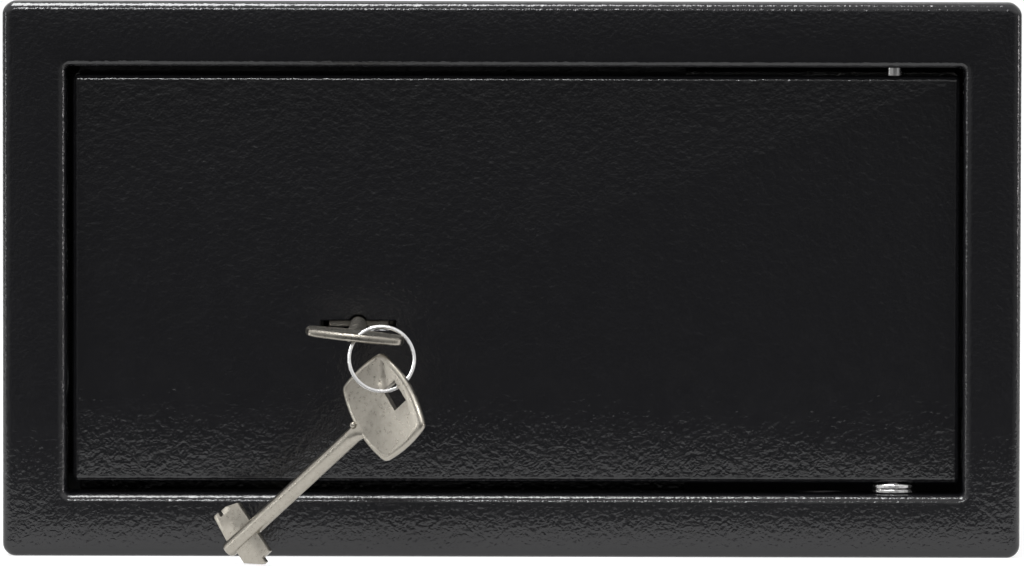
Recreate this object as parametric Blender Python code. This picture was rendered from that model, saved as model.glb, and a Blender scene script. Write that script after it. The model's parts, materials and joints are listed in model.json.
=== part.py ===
"""Key-operated wall safe with its door, double-bit lever lock, bolt work and two keys.

Frame: X to the right, +Y into the wall, Z up.  The origin is the centre of the back plate's
rear face.  Working sizes below are in millimetres; finish() turns them into metres.
"""
import math

import bmesh
import bpy
from mathutils import Matrix, Vector

MM = 0.001

# ---------------------------------------------------------------- driving dimensions (mm)
GAP = 0.3                     # between pieces that touch
REACH = 3.0                   # how far a cutter runs past what it cuts
DEPTH = 200.0                 # front of the flange to the back of the safe
FRONT = -DEPTH
SHEET = 2.0                   # sheet steel of the frame, body and door

FLANGE_W, FLANGE_H = 350.0, 191.0
FLANGE_CORNER = 4.5
FLANGE_BEND = 3.0
FLANGE_RETURN = 12.0          # depth of the outer return
JAMB_DEPTH = 22.0
OPENING = (-153.2, 155.3, -73.9, 73.2)
OPENING_CORNER = 3.0

BODY_W, BODY_H = 330.0, 171.0
BODY_CORNER = 3.0
ANCHOR_X, ANCHOR_Z, ANCHOR_D = 110.0, 45.0, 10.0

STOP_X = (-150.0, 60.0)       # welded angles that the shut door rests near
STOP_EDGE_Z = 62.0
STOP_DEPTH = 16.5
STOP_CLEAR = 0.5
MAT_HALF_X = 161.0
MAT_Y = (-142.0, -3.2)
MAT_PROFILE = ((0.5, 0.0), (0.0, 0.6), (0.0, 2.2), (0.8, 3.0))     # inset, height

DOOR = (-151.3, 154.3, -70.25, 70.25)
DOOR_FRONT = -192.0
DOOR_REAR = -160.0
DOOR_BEND = 2.0
DOOR_CORNER = 2.0
DOOR_SKIN = DOOR_FRONT + SHEET

HINGE_X, HINGE_Y = 131.8, -186.0
PIN_D, PIN_HOLE = 5.6, 6.2
PIN_END_Z = 62.0
PIN_HEAD_D, PIN_HEAD_T = 10.0, 2.5
WASHER_D, WASHER_T = 15.6, 1.4
HINGE_PLATE_X = (114.0, 150.0)
HINGE_PLATE_REAR = -165.0
HINGE_PLATE_T = 3.0
SIDE_BAR = (154.6, 161.0, -177.0, -170.0)     # x range, then y range
SIDE_BAR_HALF_Z = 45.0

KEY_X, KEY_Z = -52.8, -15.9
KEYHOLE_D, KEYHOLE_W, KEYHOLE_H = 6.9, 26.0, 3.4
KEYHOLE_TAPER = 0.25                 # the slot is this much lower at its ends
CASE_KEYHOLE_GROW = 0.2
KEY_TIP_Y = -171.0
SHANK_D = 5.6
SHANK_L = 64.0                       # round part; it ends inside the neck
NECK_PROFILE = ((63.0, 2.75, 2.75), (66.5, 2.9, 2.5), (68.6, 3.7, 1.9), (70.5, 5.2, 1.2))  # s, half w, half t
BIT_T = 2.4
FIRST_BIT = ((3.0, 2.0), (3.0, 12.3), (5.3, 12.3), (5.3, 10.4), (6.7, 10.4), (6.7, 12.1), (9.0, 12.1),
             (13.8, 10.2), (13.8, 2.0))       # along the shank, out from its axis
SECOND_BIT = ((3.0, 2.0), (3.0, 7.6), (8.8, 12.4), (10.2, 12.4), (10.2, 10.5), (13.8, 10.5), (13.8, 2.0))
BOW_START, BOW_END = 71.2, 91.2      # corners of the bow, along the shank
BOW_HALF_W = 15.6
BOW_LONG_SAG, BOW_SHORT_SAG = 3.0, 1.2
BOW_T = 2.7
BOW_BEVEL_IN, BOW_BEVEL_DOWN = 1.0, 0.7
BOW_TWIST = -6.0                     # degrees, bow against bits
SLOT_S, SLOT_L, SLOT_W = 87.6, 5.8, 8.4
RING_TURNS, RING_SIDES = 56, 8

RING_CENTRE = (-43.57, -260.98, -23.24)
RING_NORMAL = (-0.093, 0.973, -0.210)
RING_R, RING_WIRE = 11.05, 0.7
SPARE_TIP = (-96.39, -228.97, -91.01)
SPARE_AZIMUTH, SPARE_LEAN, SPARE_ROLL = 43.81, 23.66, -22.26

CASE = (-95.0, -11.0, -32.5, 32.5)
CASE_FRONT, CASE_REAR, CASE_WALL = -189.5, -173.7, 1.5
CASE_FLOOR = CASE_FRONT + CASE_WALL
CASE_CORNER = 2.0
CASE_PORT_HALF_Z = 6.6               # opening for the bolt's tail
COVER_T = 1.5
COVER_HOLE_R = 3.1
LOCK_SCREW_X, LOCK_SCREW_Z = (-89.0, -17.0), (-27.0, 27.0)
SCREW_HOLE_R = 2.1
CURTAIN_R, CURTAIN_T = 14.6, 1.0
CURTAIN_SLOT_HALF_W = 12.95
BARREL_R, BARREL_L, BARREL_BORE = 5.4, 12.5, 3.15
SWEEP_R = 13.2                       # clear of the turning bits
LEVER_WINDOW_R = 13.6
POST_X, POST_Z, POST_D = -27.0, 14.0, 5.0
POST_FLANGE_R, POST_FLANGE_T = 4.0, 2.0
LEVERS, LEVER_T, LEVER_PITCH, LEVER_FIRST = 5, 1.5, 1.9, -183.9
LEVER_PLATE, LEVER_CORNER = (-86.0, -20.5, -12.0, 26.0), 2.5
LEVER_PIVOT_GAP = 0.3
GATE_HALF_Z = 2.4
POCKET_HALF_X, POCKET_HALF_Z = 2.5, 4.6
SPRING_LINE = ((-36.0, 0.3), (-52.0, 0.3), (-60.0, 0.8), (-70.0, 1.8), (-78.0, 1.9))     # x, drop
SPRING_HALF_T = 0.25
STUMP_X, STUMP_Z, STUMP_D = -69.5, 4.0, 4.0
STUMP_L = 10.7
TRAVEL = 11.0                        # throw of the bolts
THROW_PLATE = (-186.3, -184.3)
THROW_PLATE_RIGHT, THROW_PLATE_LEFT = -25.5, -69.0
THROW_PLATE_TOP = 1.0
TAIL_HALF_Z = 6.0
TAIL_REAR = -172.0

WEB = (-112.0, -109.0)
TAIL_X = WEB[1] + GAP           # left face of the throw plate's tab
BAR_HALF_Z = 50.0
BAR_REAR = -161.0
FOOT = (-136.0, -189.5, -187.5)
STUD_X, STUD_Z, STUD_D = -128.0, 20.0, 5.0
STUD_HEAD_R, STUD_HEAD_T, STUD_HEAD_EDGE = 4.5, 1.6, 0.4
BOLT_D, BOLT_Y, BOLT_Z = 14.0, -170.5, 38.0
BOLT_END_X = -148.4
BOLT_NOSE = 1.2
BOLT_BORE_R, BOLT_BORE_L = 2.5, 14.0
BOLT_SCREW = (2.2, 15.0, 4.2, 3.0)            # shank radius and length, head radius and height
BOLT_SCREW_HOLE_R = 2.6
DRIVE_Y = -178.0
DRIVE_SCREW = (1.6, 9.0, 3.4, 2.0)
DRIVE_HOLE_R = 1.9
LOCK_SCREW = (1.7, 17.4, 3.4, 2.0)

# ---------------------------------------------------------------- finishes
FINISHES = {
    "powder_black": ((0.012, 0.012, 0.013), 0.36, 0.0),
    "zinc_steel": ((0.45, 0.45, 0.44), 0.38, 1.0),
    "bright_steel": ((0.62, 0.62, 0.62), 0.22, 1.0),
    "brass": ((0.62, 0.45, 0.18), 0.33, 1.0),
    "black_oxide": ((0.03, 0.03, 0.032), 0.45, 1.0),
    "key_nickel": ((0.53, 0.50, 0.45), 0.42, 1.0),
    "grey_felt": ((0.06, 0.06, 0.065), 0.95, 0.0),
}


def clear_scene():
    for obj in list(bpy.data.objects):
        bpy.data.objects.remove(obj, do_unlink=True)


# ---------------------------------------------------------------- modelling helpers
def rect_loop(box, corner, y, grow=0.0, steps=5):
    """Rounded rectangle in the plane at depth y; grow moves every side outward."""
    x0, x1, z0, z1 = box[0] - grow, box[1] + grow, box[2] - grow, box[3] + grow
    r = max(corner + grow, 0.4)
    centres = ((x1 - r, z1 - r, 0), (x0 + r, z1 - r, 90), (x0 + r, z0 + r, 180), (x1 - r, z0 + r, 270))
    loop = []
    for cx, cz, start in centres:
        for i in range(steps + 1):
            a = math.radians(start + 90 * i / steps)
            loop.append((cx + r * math.cos(a), y, cz + r * math.sin(a)))
    return loop


def flat_outline(box, corner, steps=5):
    """Rounded rectangle as 2-D points."""
    return [(x, z) for x, _, z in rect_loop(box, corner, 0.0, 0.0, steps)]


def circle_loop(centre, axis, radius, sides):
    """Circle of points about a centre, square to an axis."""
    axis = Vector(axis).normalized()
    turn = Vector((0, 0, 1)).rotation_difference(axis).to_matrix()
    loop = []
    for i in range(sides):
        a = 2 * math.pi * i / sides
        loop.append(Vector(centre) + turn @ Vector((radius * math.cos(a), radius * math.sin(a), 0)))
    return loop


def skin(loops, closed=False):
    """Body made of equal loops joined one to the next; its ends are capped, or joined if closed."""
    bm = bmesh.new()
    rows = [[bm.verts.new(p) for p in loop] for loop in loops]
    count = len(rows[0])
    for k in range(len(rows) if closed else len(rows) - 1):
        row, after = rows[k], rows[(k + 1) % len(rows)]
        for i in range(count):
            j = (i + 1) % count
            bm.faces.new((row[i], row[j], after[j], after[i]))
    if not closed:
        bm.faces.new(rows[0])
        bm.faces.new(rows[-1])
    bmesh.ops.recalc_face_normals(bm, faces=bm.faces)
    return bm


def turned(start, axis, profile, sides=28, closed=False):
    """Solid of revolution: profile holds (distance along axis, radius) pairs."""
    start, axis = Vector(start), Vector(axis).normalized()
    return skin([circle_loop(start + axis * d, axis, r, sides) for d, r in profile], closed)


def hole_tool(start, axis, radius, length, sides=20):
    """Plain cylinder that cuts a round hole."""
    return turned(start, axis, ((0, radius), (length, radius)), sides)


def prism(outline, axis, low, high):
    """Outline of 2-D points pushed along X, Y or Z.  The other two axes keep their order."""
    place = {"X": lambda p, h: (h, p[0], p[1]),
             "Y": lambda p, h: (p[0], h, p[1]),
             "Z": lambda p, h: (p[0], p[1], h)}[axis]
    return skin([[place(p, low) for p in outline], [place(p, high) for p in outline]])


def box(x0, x1, y0, y1, z0, z1):
    return prism(((x0, y0), (x1, y0), (x1, y1), (x0, y1)), "Z", z0, z1)


def work_object(bm):
    mesh = bpy.data.meshes.new("work")
    bm.to_mesh(mesh)
    bm.free()
    obj = bpy.data.objects.new("work", mesh)
    bpy.context.scene.collection.objects.link(obj)
    return obj


def combine(bm, operation, tools):
    """Join the tools to a body (UNION) or cut them from it (DIFFERENCE)."""
    base = work_object(bm)
    spent = [base]
    for tool in tools:
        spent.append(work_object(tool))
        step = base.modifiers.new("boolean", "BOOLEAN")
        step.operation = operation
        step.solver = "EXACT"
        step.object = spent[-1]
    bpy.context.view_layer.update()
    result = bmesh.new()
    result.from_object(base, bpy.context.evaluated_depsgraph_get())
    bmesh.ops.dissolve_limit(result, angle_limit=math.radians(0.05), verts=result.verts, edges=result.edges)
    for obj in spent:
        bpy.data.objects.remove(obj, do_unlink=True)
    return result


def part_material(node, finish_name):
    colour, roughness, metallic = FINISHES[finish_name]
    material = bpy.data.materials.new(node + "_" + finish_name)
    material.use_nodes = True
    shader = material.node_tree.nodes["Principled BSDF"]
    shader.inputs["Base Color"].default_value = (*colour, 1.0)
    shader.inputs["Roughness"].default_value = roughness
    shader.inputs["Metallic"].default_value = metallic
    return material


def pivot(name, place, parent=None):
    """Empty on a joint axis; place is in millimetres."""
    empty = bpy.data.objects.new(name, None)
    empty.empty_display_size = 0.01
    bpy.context.scene.collection.objects.link(empty)
    empty["place"] = list(place)
    empty.parent = parent
    base = Vector(parent["place"]) if parent else Vector()
    empty.location = (Vector(place) - base) * MM
    return empty


def finish(node, bm, finish_name, parent=None, local=None):
    """Turn a body in millimetres into the named sub-part, in metres, under its pivot.

    local is a placement matrix in millimetres for a body modelled in its own frame.
    """
    if local is not None:
        bmesh.ops.transform(bm, matrix=local, verts=bm.verts)
    base = Vector(parent["place"]) if parent else Vector()
    bmesh.ops.translate(bm, vec=-base, verts=bm.verts)
    bmesh.ops.scale(bm, vec=(MM, MM, MM), verts=bm.verts)
    mesh = bpy.data.meshes.new(node)
    bm.to_mesh(mesh)
    bm.free()
    mesh.shade_smooth()
    mesh.set_sharp_from_angle(angle=math.radians(35))
    mesh.materials.append(part_material(node, finish_name))
    obj = bpy.data.objects.new(node, mesh)
    bpy.context.scene.collection.objects.link(obj)
    obj.parent = parent
    return obj


# ---------------------------------------------------------------- cabinet
def bend(radius, steps=4):
    """Quarter circle as (inset, rise) pairs, from a side to a front face."""
    for i in range(steps + 1):
        a = math.radians(90 * i / steps)
        yield radius * (1 - math.cos(a)), radius * (1 - math.sin(a))


def front_frame():
    outer = (-FLANGE_W / 2, FLANGE_W / 2, -FLANGE_H / 2, FLANGE_H / 2)
    r, t = FLANGE_BEND, SHEET
    rear, jamb_end = FRONT + FLANGE_RETURN, FRONT + JAMB_DEPTH
    loops = [rect_loop(outer, FLANGE_CORNER, rear)]
    for inset, rise in bend(r):
        loops.append(rect_loop(outer, FLANGE_CORNER, FRONT + rise, -inset))
    for inset, rise in reversed(list(bend(r))):
        loops.append(rect_loop(OPENING, OPENING_CORNER, FRONT + rise, inset))
    loops.append(rect_loop(OPENING, OPENING_CORNER, jamb_end))
    loops.append(rect_loop(OPENING, OPENING_CORNER, jamb_end, t))
    for inset, rise in bend(r - t):
        loops.append(rect_loop(OPENING, OPENING_CORNER, FRONT + t + rise, t + inset))
    for inset, rise in reversed(list(bend(r - t))):
        loops.append(rect_loop(outer, FLANGE_CORNER, FRONT + t + rise, -t - inset))
    loops.append(rect_loop(outer, FLANGE_CORNER, rear, -t))
    frame = skin(loops, closed=True)
    return combine(frame, "DIFFERENCE", [pin_hole(-FLANGE_H, FLANGE_H)])


def pin_hole(low, high):
    return hole_tool((HINGE_X, HINGE_Y, low), (0, 0, 1), PIN_HOLE / 2, high - low)


def body_shell():
    box_out = (-BODY_W / 2, BODY_W / 2, -BODY_H / 2, BODY_H / 2)
    front = FRONT + SHEET + GAP
    loops = [rect_loop(box_out, BODY_CORNER, front), rect_loop(box_out, BODY_CORNER, 0.0),
             rect_loop(box_out, BODY_CORNER, 0.0, -SHEET), rect_loop(box_out, BODY_CORNER, front, -SHEET)]
    return skin(loops, closed=True)


def back_plate():
    inner = SHEET + GAP
    box_out = (-BODY_W / 2, BODY_W / 2, -BODY_H / 2, BODY_H / 2)
    plate = skin([rect_loop(box_out, BODY_CORNER, y, -inner) for y in (-SHEET, 0.0)])
    holes = []
    for x in (-ANCHOR_X, ANCHOR_X):
        for z in (-ANCHOR_Z, ANCHOR_Z):
            holes.append(hole_tool((x, -SHEET - REACH, z), (0, 1, 0), ANCHOR_D / 2, SHEET + 2 * REACH))
    return combine(plate, "DIFFERENCE", holes)


def door_stop(side):
    """Angle welded inside the body behind the door; side is +1 above and -1 below."""
    wall = BODY_H / 2 - SHEET - GAP
    front = DOOR_REAR + STOP_CLEAR
    rear = front + STOP_DEPTH
    outline = ((front, STOP_EDGE_Z), (front, wall), (rear, wall), (rear, wall - SHEET),
               (front + SHEET, wall - SHEET), (front + SHEET, STOP_EDGE_Z))
    return prism([(y, side * z) for y, z in outline], "X", *STOP_X)


def floor_mat():
    floor = -BODY_H / 2 + SHEET + GAP
    loops = []
    for inset, height in MAT_PROFILE:
        x, y0, y1, z = MAT_HALF_X - inset, MAT_Y[0] + inset, MAT_Y[1] - inset, floor + height
        loops.append([(-x, y0, z), (x, y0, z), (x, y1, z), (-x, y1, z)])
    return skin(loops)


# ---------------------------------------------------------------- hinge
def hinge_pin(side):
    """Shank from inside the door out through the jamb, with its head behind the jamb."""
    jamb = (OPENING[3] if side > 0 else -OPENING[2]) + SHEET + GAP
    r, head = PIN_D / 2, PIN_HEAD_D / 2
    top = jamb + PIN_HEAD_T
    profile = ((0, r - 0.6), (0.6, r), (jamb - PIN_END_Z, r), (jamb - PIN_END_Z, head),
               (top - PIN_END_Z - 0.5, head), (top - PIN_END_Z, head - 0.5))
    return turned((HINGE_X, HINGE_Y, side * PIN_END_Z), (0, 0, side), profile)


def hinge_washer(index):
    """Washers stacked in the lower gap between the door and the jamb."""
    low = OPENING[2] + 0.2 + index * (WASHER_T + GAP)
    hole, rim, edge = PIN_HOLE / 2, WASHER_D / 2, 0.3
    profile = ((0, hole), (0, rim - edge), (edge, rim), (WASHER_T - edge, rim), (WASHER_T, rim - edge),
               (WASHER_T, hole))
    return turned((HINGE_X, HINGE_Y, low), (0, 0, 1), profile, closed=True)


def hinge_plate(side):
    """Steel pad under the door's edge that carries the pin."""
    outer = DOOR[3] - SHEET - GAP
    z0, z1 = sorted((side * outer, side * (outer - HINGE_PLATE_T)))
    plate = box(*HINGE_PLATE_X, DOOR_SKIN + GAP, HINGE_PLATE_REAR, z0, z1)
    return combine(plate, "DIFFERENCE", [pin_hole(z0 - 1, z1 + 1)])


def hinge_side_bar():
    """Fixed bar behind the jamb: the hinge side stays shut even with its pins cut."""
    return prism(flat_outline(SIDE_BAR, 0.8, steps=2), "Z", -SIDE_BAR_HALF_Z, SIDE_BAR_HALF_Z)


# ---------------------------------------------------------------- door
def keyhole_tools(low, high, grow=0.0):
    """Round hole with a slot to each side, narrower at the slot's ends."""
    w, h = KEYHOLE_W / 2 + grow, KEYHOLE_H / 2 + grow
    end = h - KEYHOLE_TAPER
    slot = ((-w, -end), (0, -h), (w, -end), (w, end), (0, h), (-w, end))
    return [prism([(KEY_X + x, KEY_Z + z) for x, z in slot], "Y", low, high),
            hole_tool((KEY_X, low, KEY_Z), (0, 1, 0), KEYHOLE_D / 2 + grow, high - low, 36)]


def door_plate():
    loops = [rect_loop(DOOR, DOOR_CORNER, DOOR_SKIN, -SHEET), rect_loop(DOOR, DOOR_CORNER, DOOR_REAR, -SHEET),
             rect_loop(DOOR, DOOR_CORNER, DOOR_REAR)]
    for inset, rise in bend(DOOR_BEND):
        loops.append(rect_loop(DOOR, DOOR_CORNER, DOOR_FRONT + rise, -inset))
    tools = keyhole_tools(DOOR_FRONT - REACH, DOOR_SKIN + REACH)
    tools.append(pin_hole(-FLANGE_H, FLANGE_H))
    for z in (-BOLT_Z, BOLT_Z):
        edge = (DOOR[0] - REACH, BOLT_Y, z)
        tools.append(hole_tool(edge, (1, 0, 0), BOLT_D / 2 + GAP, SHEET + 2 * REACH, 32))
    return combine(skin(loops), "DIFFERENCE", tools)


# ---------------------------------------------------------------- lock
def lock_case():
    loops = [rect_loop(CASE, CASE_CORNER, CASE_FLOOR, -CASE_WALL),
             rect_loop(CASE, CASE_CORNER, CASE_REAR, -CASE_WALL),
             rect_loop(CASE, CASE_CORNER, CASE_REAR), rect_loop(CASE, CASE_CORNER, CASE_FRONT)]
    low, high = CASE_FRONT - REACH, CASE_FLOOR + REACH
    tools = keyhole_tools(low, high, CASE_KEYHOLE_GROW)
    tools += [cross_hole(x, z, low, high, SCREW_HOLE_R) for x in LOCK_SCREW_X for z in LOCK_SCREW_Z]
    tools.append(box(CASE[0] - REACH, CASE[0] + REACH, THROW_PLATE[0] - 2 * GAP, THROW_PLATE[1] + 2 * GAP,
                     -CASE_PORT_HALF_Z, CASE_PORT_HALF_Z))
    return combine(skin(loops), "DIFFERENCE", tools)


def cross_hole(x, z, low, high, radius):
    """Round hole along Y."""
    return hole_tool((x, low, z), (0, 1, 0), radius, high - low)


def lock_cover():
    front = CASE_REAR + GAP
    cover = skin([rect_loop(CASE, CASE_CORNER, front), rect_loop(CASE, CASE_CORNER, front + COVER_T)])
    low, high = front - REACH, front + COVER_T + REACH
    tools = [cross_hole(x, z, low, high, SCREW_HOLE_R) for x in LOCK_SCREW_X for z in LOCK_SCREW_Z]
    tools.append(cross_hole(KEY_X, KEY_Z, low, high, COVER_HOLE_R))
    return combine(cover, "DIFFERENCE", tools)


def slotted_screw(start, axis, size):
    """Cheese-head screw; start is under the head and axis points out of the head.

    size holds the shank's radius and length, then the head's radius and height.
    """
    shank_r, shank_l, head_r, head_h = size
    edge, half_slot = 0.4, 0.45
    profile = ((-shank_l, shank_r - edge), (-shank_l + edge, shank_r), (0, shank_r), (0, head_r),
               (head_h - edge, head_r), (head_h, head_r - edge))
    start, axis = Vector(start), Vector(axis)
    side = Vector((0, 0, 1))
    other = axis.cross(side)
    slot = skin([[start + axis * d + side * (u * half_slot) + other * (v * (head_r + REACH))
                  for u, v in ((-1, -1), (1, -1), (1, 1), (-1, 1))] for d in (head_h * 0.5, head_h + REACH)])
    return combine(turned(start, axis, profile, 20), "DIFFERENCE", [slot])


def key_curtain():
    """Disc behind the keyhole and a slotted barrel, both turned by the key."""
    face = CASE_FLOOR + GAP
    profile = ((0, CURTAIN_R), (CURTAIN_T, CURTAIN_R), (CURTAIN_T, BARREL_R), (BARREL_L, BARREL_R))
    half_h = BIT_T / 2 + 0.4
    low, high = face - REACH, face + BARREL_L + REACH
    tools = [box(KEY_X - CURTAIN_SLOT_HALF_W, KEY_X + CURTAIN_SLOT_HALF_W, low, high,
                 KEY_Z - half_h, KEY_Z + half_h),
             hole_tool((KEY_X, low, KEY_Z), (0, 1, 0), BARREL_BORE, high - low, 28)]
    return combine(turned((KEY_X, face, KEY_Z), (0, 1, 0), profile, 40), "DIFFERENCE", tools)


def arc_points(cx, cz, radius, start, end, steps):
    angles = [math.radians(start + (end - start) * i / steps) for i in range(steps + 1)]
    return [(cx + radius * math.cos(a), cz + radius * math.sin(a)) for a in angles]


def lock_bolt():
    """Plate thrown by the bits, with the stump for the levers and a tail out to the bolt bar."""
    low, high = THROW_PLATE
    floor = CASE[2] + CASE_WALL + GAP
    left, right, top, tail = THROW_PLATE_LEFT, THROW_PLATE_RIGHT, THROW_PLATE_TOP, TAIL_HALF_Z
    outline = ((left, floor), (right, floor), (right, top), (left + REACH, top), (left + REACH, tail),
               (TAIL_X, tail), (TAIL_X, -tail), (left, -tail))
    plate = prism(outline, "Y", low, high)
    rest, thrown = KEY_X, KEY_X + TRAVEL
    window = arc_points(thrown, KEY_Z, SWEEP_R, -90, 90, 16) + arc_points(rest, KEY_Z, SWEEP_R, 90, 270, 16)
    plate = combine(plate, "DIFFERENCE", [prism(window, "Y", low - REACH, high + REACH)])
    tab = box(TAIL_X, TAIL_X + SHEET, low, TAIL_REAR, -tail, tail)
    stump = hole_tool((STUMP_X, high - SHEET / 2, STUMP_Z), (0, 1, 0), STUMP_D / 2, STUMP_L)
    plate = combine(plate, "UNION", [tab, stump])
    hole = hole_tool((TAIL_X - REACH, DRIVE_Y, 0), (1, 0, 0), DRIVE_HOLE_R, SHEET + 2 * REACH)
    return combine(plate, "DIFFERENCE", [hole])


def lever(index):
    """Brass lever that arches over the key, with two pockets and a gate for the stump."""
    low = LEVER_FIRST + index * LEVER_PITCH
    high = low + LEVER_T
    plate = prism(flat_outline(LEVER_PLATE, LEVER_CORNER), "Y", low, high)
    thrown = STUMP_X - TRAVEL
    front, rear = low - REACH, high + REACH
    tools = [cross_hole(KEY_X, KEY_Z, front, rear, LEVER_WINDOW_R),
             cross_hole(POST_X, POST_Z, front, rear, POST_D / 2 + LEVER_PIVOT_GAP),
             box(thrown, STUMP_X, front, rear, STUMP_Z - GATE_HALF_Z, STUMP_Z + GATE_HALF_Z)]
    for x in (thrown, STUMP_X):
        tools.append(box(x - POCKET_HALF_X, x + POCKET_HALF_X, front, rear,
                         STUMP_Z - POCKET_HALF_Z, STUMP_Z + POCKET_HALF_Z))
    return combine(plate, "DIFFERENCE", tools)


def lever_post():
    front, rear = CASE_FLOOR + GAP, CASE_REAR
    r = POST_D / 2
    profile = ((0, POST_FLANGE_R), (POST_FLANGE_T, POST_FLANGE_R), (POST_FLANGE_T, r),
               (rear - front - GAP, r))
    return turned((POST_X, front, POST_Z), (0, 1, 0), profile, 24)


def lever_spring():
    """Leaf spring over the levers, held under the top wall of the case."""
    top = CASE[3] - CASE_WALL - GAP
    upper = [(x, top - drop + SPRING_HALF_T) for x, drop in SPRING_LINE]
    lower = [(x, top - drop - SPRING_HALF_T) for x, drop in reversed(SPRING_LINE)]
    return prism(upper + lower, "Y", LEVER_FIRST, LEVER_FIRST + (LEVERS - 1) * LEVER_PITCH + LEVER_T)


# ---------------------------------------------------------------- bolt work
def bolt_bar():
    x0, y0, y1 = FOOT
    foot = ((x0, y0), (WEB[1], y0), (WEB[1], BAR_REAR), (WEB[0], BAR_REAR), (WEB[0], y1), (x0, y1))
    bar = prism(foot, "Z", -BAR_HALF_Z, BAR_HALF_Z)
    tools = []
    clear = STUD_D / 2 + GAP
    for z in (-STUD_Z, STUD_Z):
        slot = arc_points(STUD_X + TRAVEL, z, clear, -90, 90, 8) + arc_points(STUD_X, z, clear, 90, 270, 8)
        tools.append(prism(slot, "Y", y0 - REACH, y1 + REACH))
    through_web = WEB[1] - WEB[0] + 2 * REACH
    for z in (-BOLT_Z, BOLT_Z):
        tools.append(hole_tool((WEB[0] - REACH, BOLT_Y, z), (1, 0, 0), BOLT_SCREW_HOLE_R, through_web))
    tools.append(hole_tool((WEB[0] - REACH, DRIVE_Y, 0), (1, 0, 0), DRIVE_HOLE_R, through_web))
    return combine(bar, "DIFFERENCE", tools)


def guide_stud(side):
    r, head, edge = STUD_D / 2, STUD_HEAD_R, STUD_HEAD_EDGE
    start = DOOR_SKIN + GAP
    under_head = FOOT[2] + GAP - start
    top = under_head + STUD_HEAD_T
    profile = ((0, r), (under_head, r), (under_head, head), (top - edge, head), (top, head - edge))
    return turned((STUD_X, start, side * STUD_Z), (0, 1, 0), profile, 24)


def locking_bolt(side):
    r = BOLT_D / 2
    length = WEB[0] - GAP - BOLT_END_X
    profile = ((0, r - BOLT_NOSE), (BOLT_NOSE, r), (length, r))
    bolt = turned((BOLT_END_X, BOLT_Y, side * BOLT_Z), (1, 0, 0), profile, 36)
    bore_end = (WEB[0] - BOLT_BORE_L, BOLT_Y, side * BOLT_Z)
    return combine(bolt, "DIFFERENCE", [hole_tool(bore_end, (1, 0, 0), BOLT_BORE_R, BOLT_BORE_L + REACH)])


def bolt_screw(side):
    return slotted_screw((WEB[1] + GAP, BOLT_Y, side * BOLT_Z), (1, 0, 0), BOLT_SCREW)


def drive_screw():
    return slotted_screw((TAIL_X + SHEET + GAP, DRIVE_Y, 0), (1, 0, 0), DRIVE_SCREW)


# ---------------------------------------------------------------- keys
def bow_outline(inset):
    """Bow seen flat: four corners joined by shallow arcs."""
    s0, s1, w = BOW_START + inset, BOW_END - inset, BOW_HALF_W - inset
    corners = ((s0, -w), (s1, -w), (s1, w), (s0, w))
    sags = (BOW_SHORT_SAG, BOW_LONG_SAG, BOW_SHORT_SAG, BOW_LONG_SAG)
    points = []
    steps = 8
    for k, sag in enumerate(sags):
        a, b = Vector(corners[k]), Vector(corners[(k + 1) % 4])
        out = Vector(((b - a).y, -(b - a).x)).normalized()
        for i in range(steps):
            t = i / steps
            points.append(a.lerp(b, t) + out * sag * (1 - (2 * t - 1) ** 2))
    return points


def key():
    """Double-bit key along +X from its tip, bits in the XY plane, bow twisted slightly."""
    half = BOW_T / 2
    rim = half - BOW_BEVEL_DOWN
    layers = ((-half, BOW_BEVEL_IN), (-rim, 0), (rim, 0), (half, BOW_BEVEL_IN))
    bow = skin([[(p.x, p.y, h) for p in bow_outline(inset)] for h, inset in layers])
    slot = box(SLOT_S - SLOT_L / 2, SLOT_S + SLOT_L / 2, -SLOT_W / 2, SLOT_W / 2, -REACH, REACH)
    bow = combine(bow, "DIFFERENCE", [slot])
    twist = Matrix.Rotation(math.radians(BOW_TWIST), 3, "X")
    bmesh.ops.transform(bow, matrix=twist, verts=bow.verts)
    r = SHANK_D / 2
    shank = turned((0, 0, 0), (1, 0, 0), ((0, r - 0.8), (0.35, r - 0.25), (0.9, r), (SHANK_L, r)), 24)
    neck = skin([[(s, w * math.cos(a), h * math.sin(a)) for a in (2 * math.pi * i / 24 for i in range(24))]
                 for s, w, h in NECK_PROFILE])
    bits = [prism([(s, -w) for s, w in FIRST_BIT], "Z", -BIT_T / 2, BIT_T / 2),
            prism(SECOND_BIT, "Z", -BIT_T / 2, BIT_T / 2)]
    bmesh.ops.transform(neck, matrix=twist, verts=neck.verts)
    return combine(shank, "UNION", bits + [neck, bow])


def placement(tip, along, across):
    """Matrix that puts a key's tip, shank direction and bit direction in place."""
    along = Vector(along).normalized()
    across = (Vector(across) - along * Vector(across).dot(along)).normalized()
    turn = Matrix((along, across, along.cross(across))).transposed().to_4x4()
    return Matrix.Translation(Vector(tip)) @ turn


def spare_placement():
    az, lean, roll = (math.radians(v) for v in (SPARE_AZIMUTH, SPARE_LEAN, SPARE_ROLL))
    along = Vector((math.cos(az) * math.cos(lean), -math.sin(lean), math.sin(az) * math.cos(lean)))
    level = Vector((math.sin(az), 0, -math.cos(az)))
    level = (level - along * level.dot(along)).normalized()
    across = level * math.cos(roll) + along.cross(level) * math.sin(roll)
    return placement(SPARE_TIP, along, across)


def key_ring():
    normal = Vector(RING_NORMAL).normalized()
    side = normal.cross(Vector((0, 0, 1))).normalized()
    up = side.cross(normal)
    loops = []
    for i in range(RING_TURNS):
        a = 2 * math.pi * i / RING_TURNS
        out = side * math.cos(a) + up * math.sin(a)
        centre = Vector(RING_CENTRE) + out * RING_R
        loops.append([centre + (out * math.cos(b) + normal * math.sin(b)) * RING_WIRE
                      for b in (2 * math.pi * k / RING_SIDES for k in range(RING_SIDES))])
    return skin(loops, closed=True)


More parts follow.
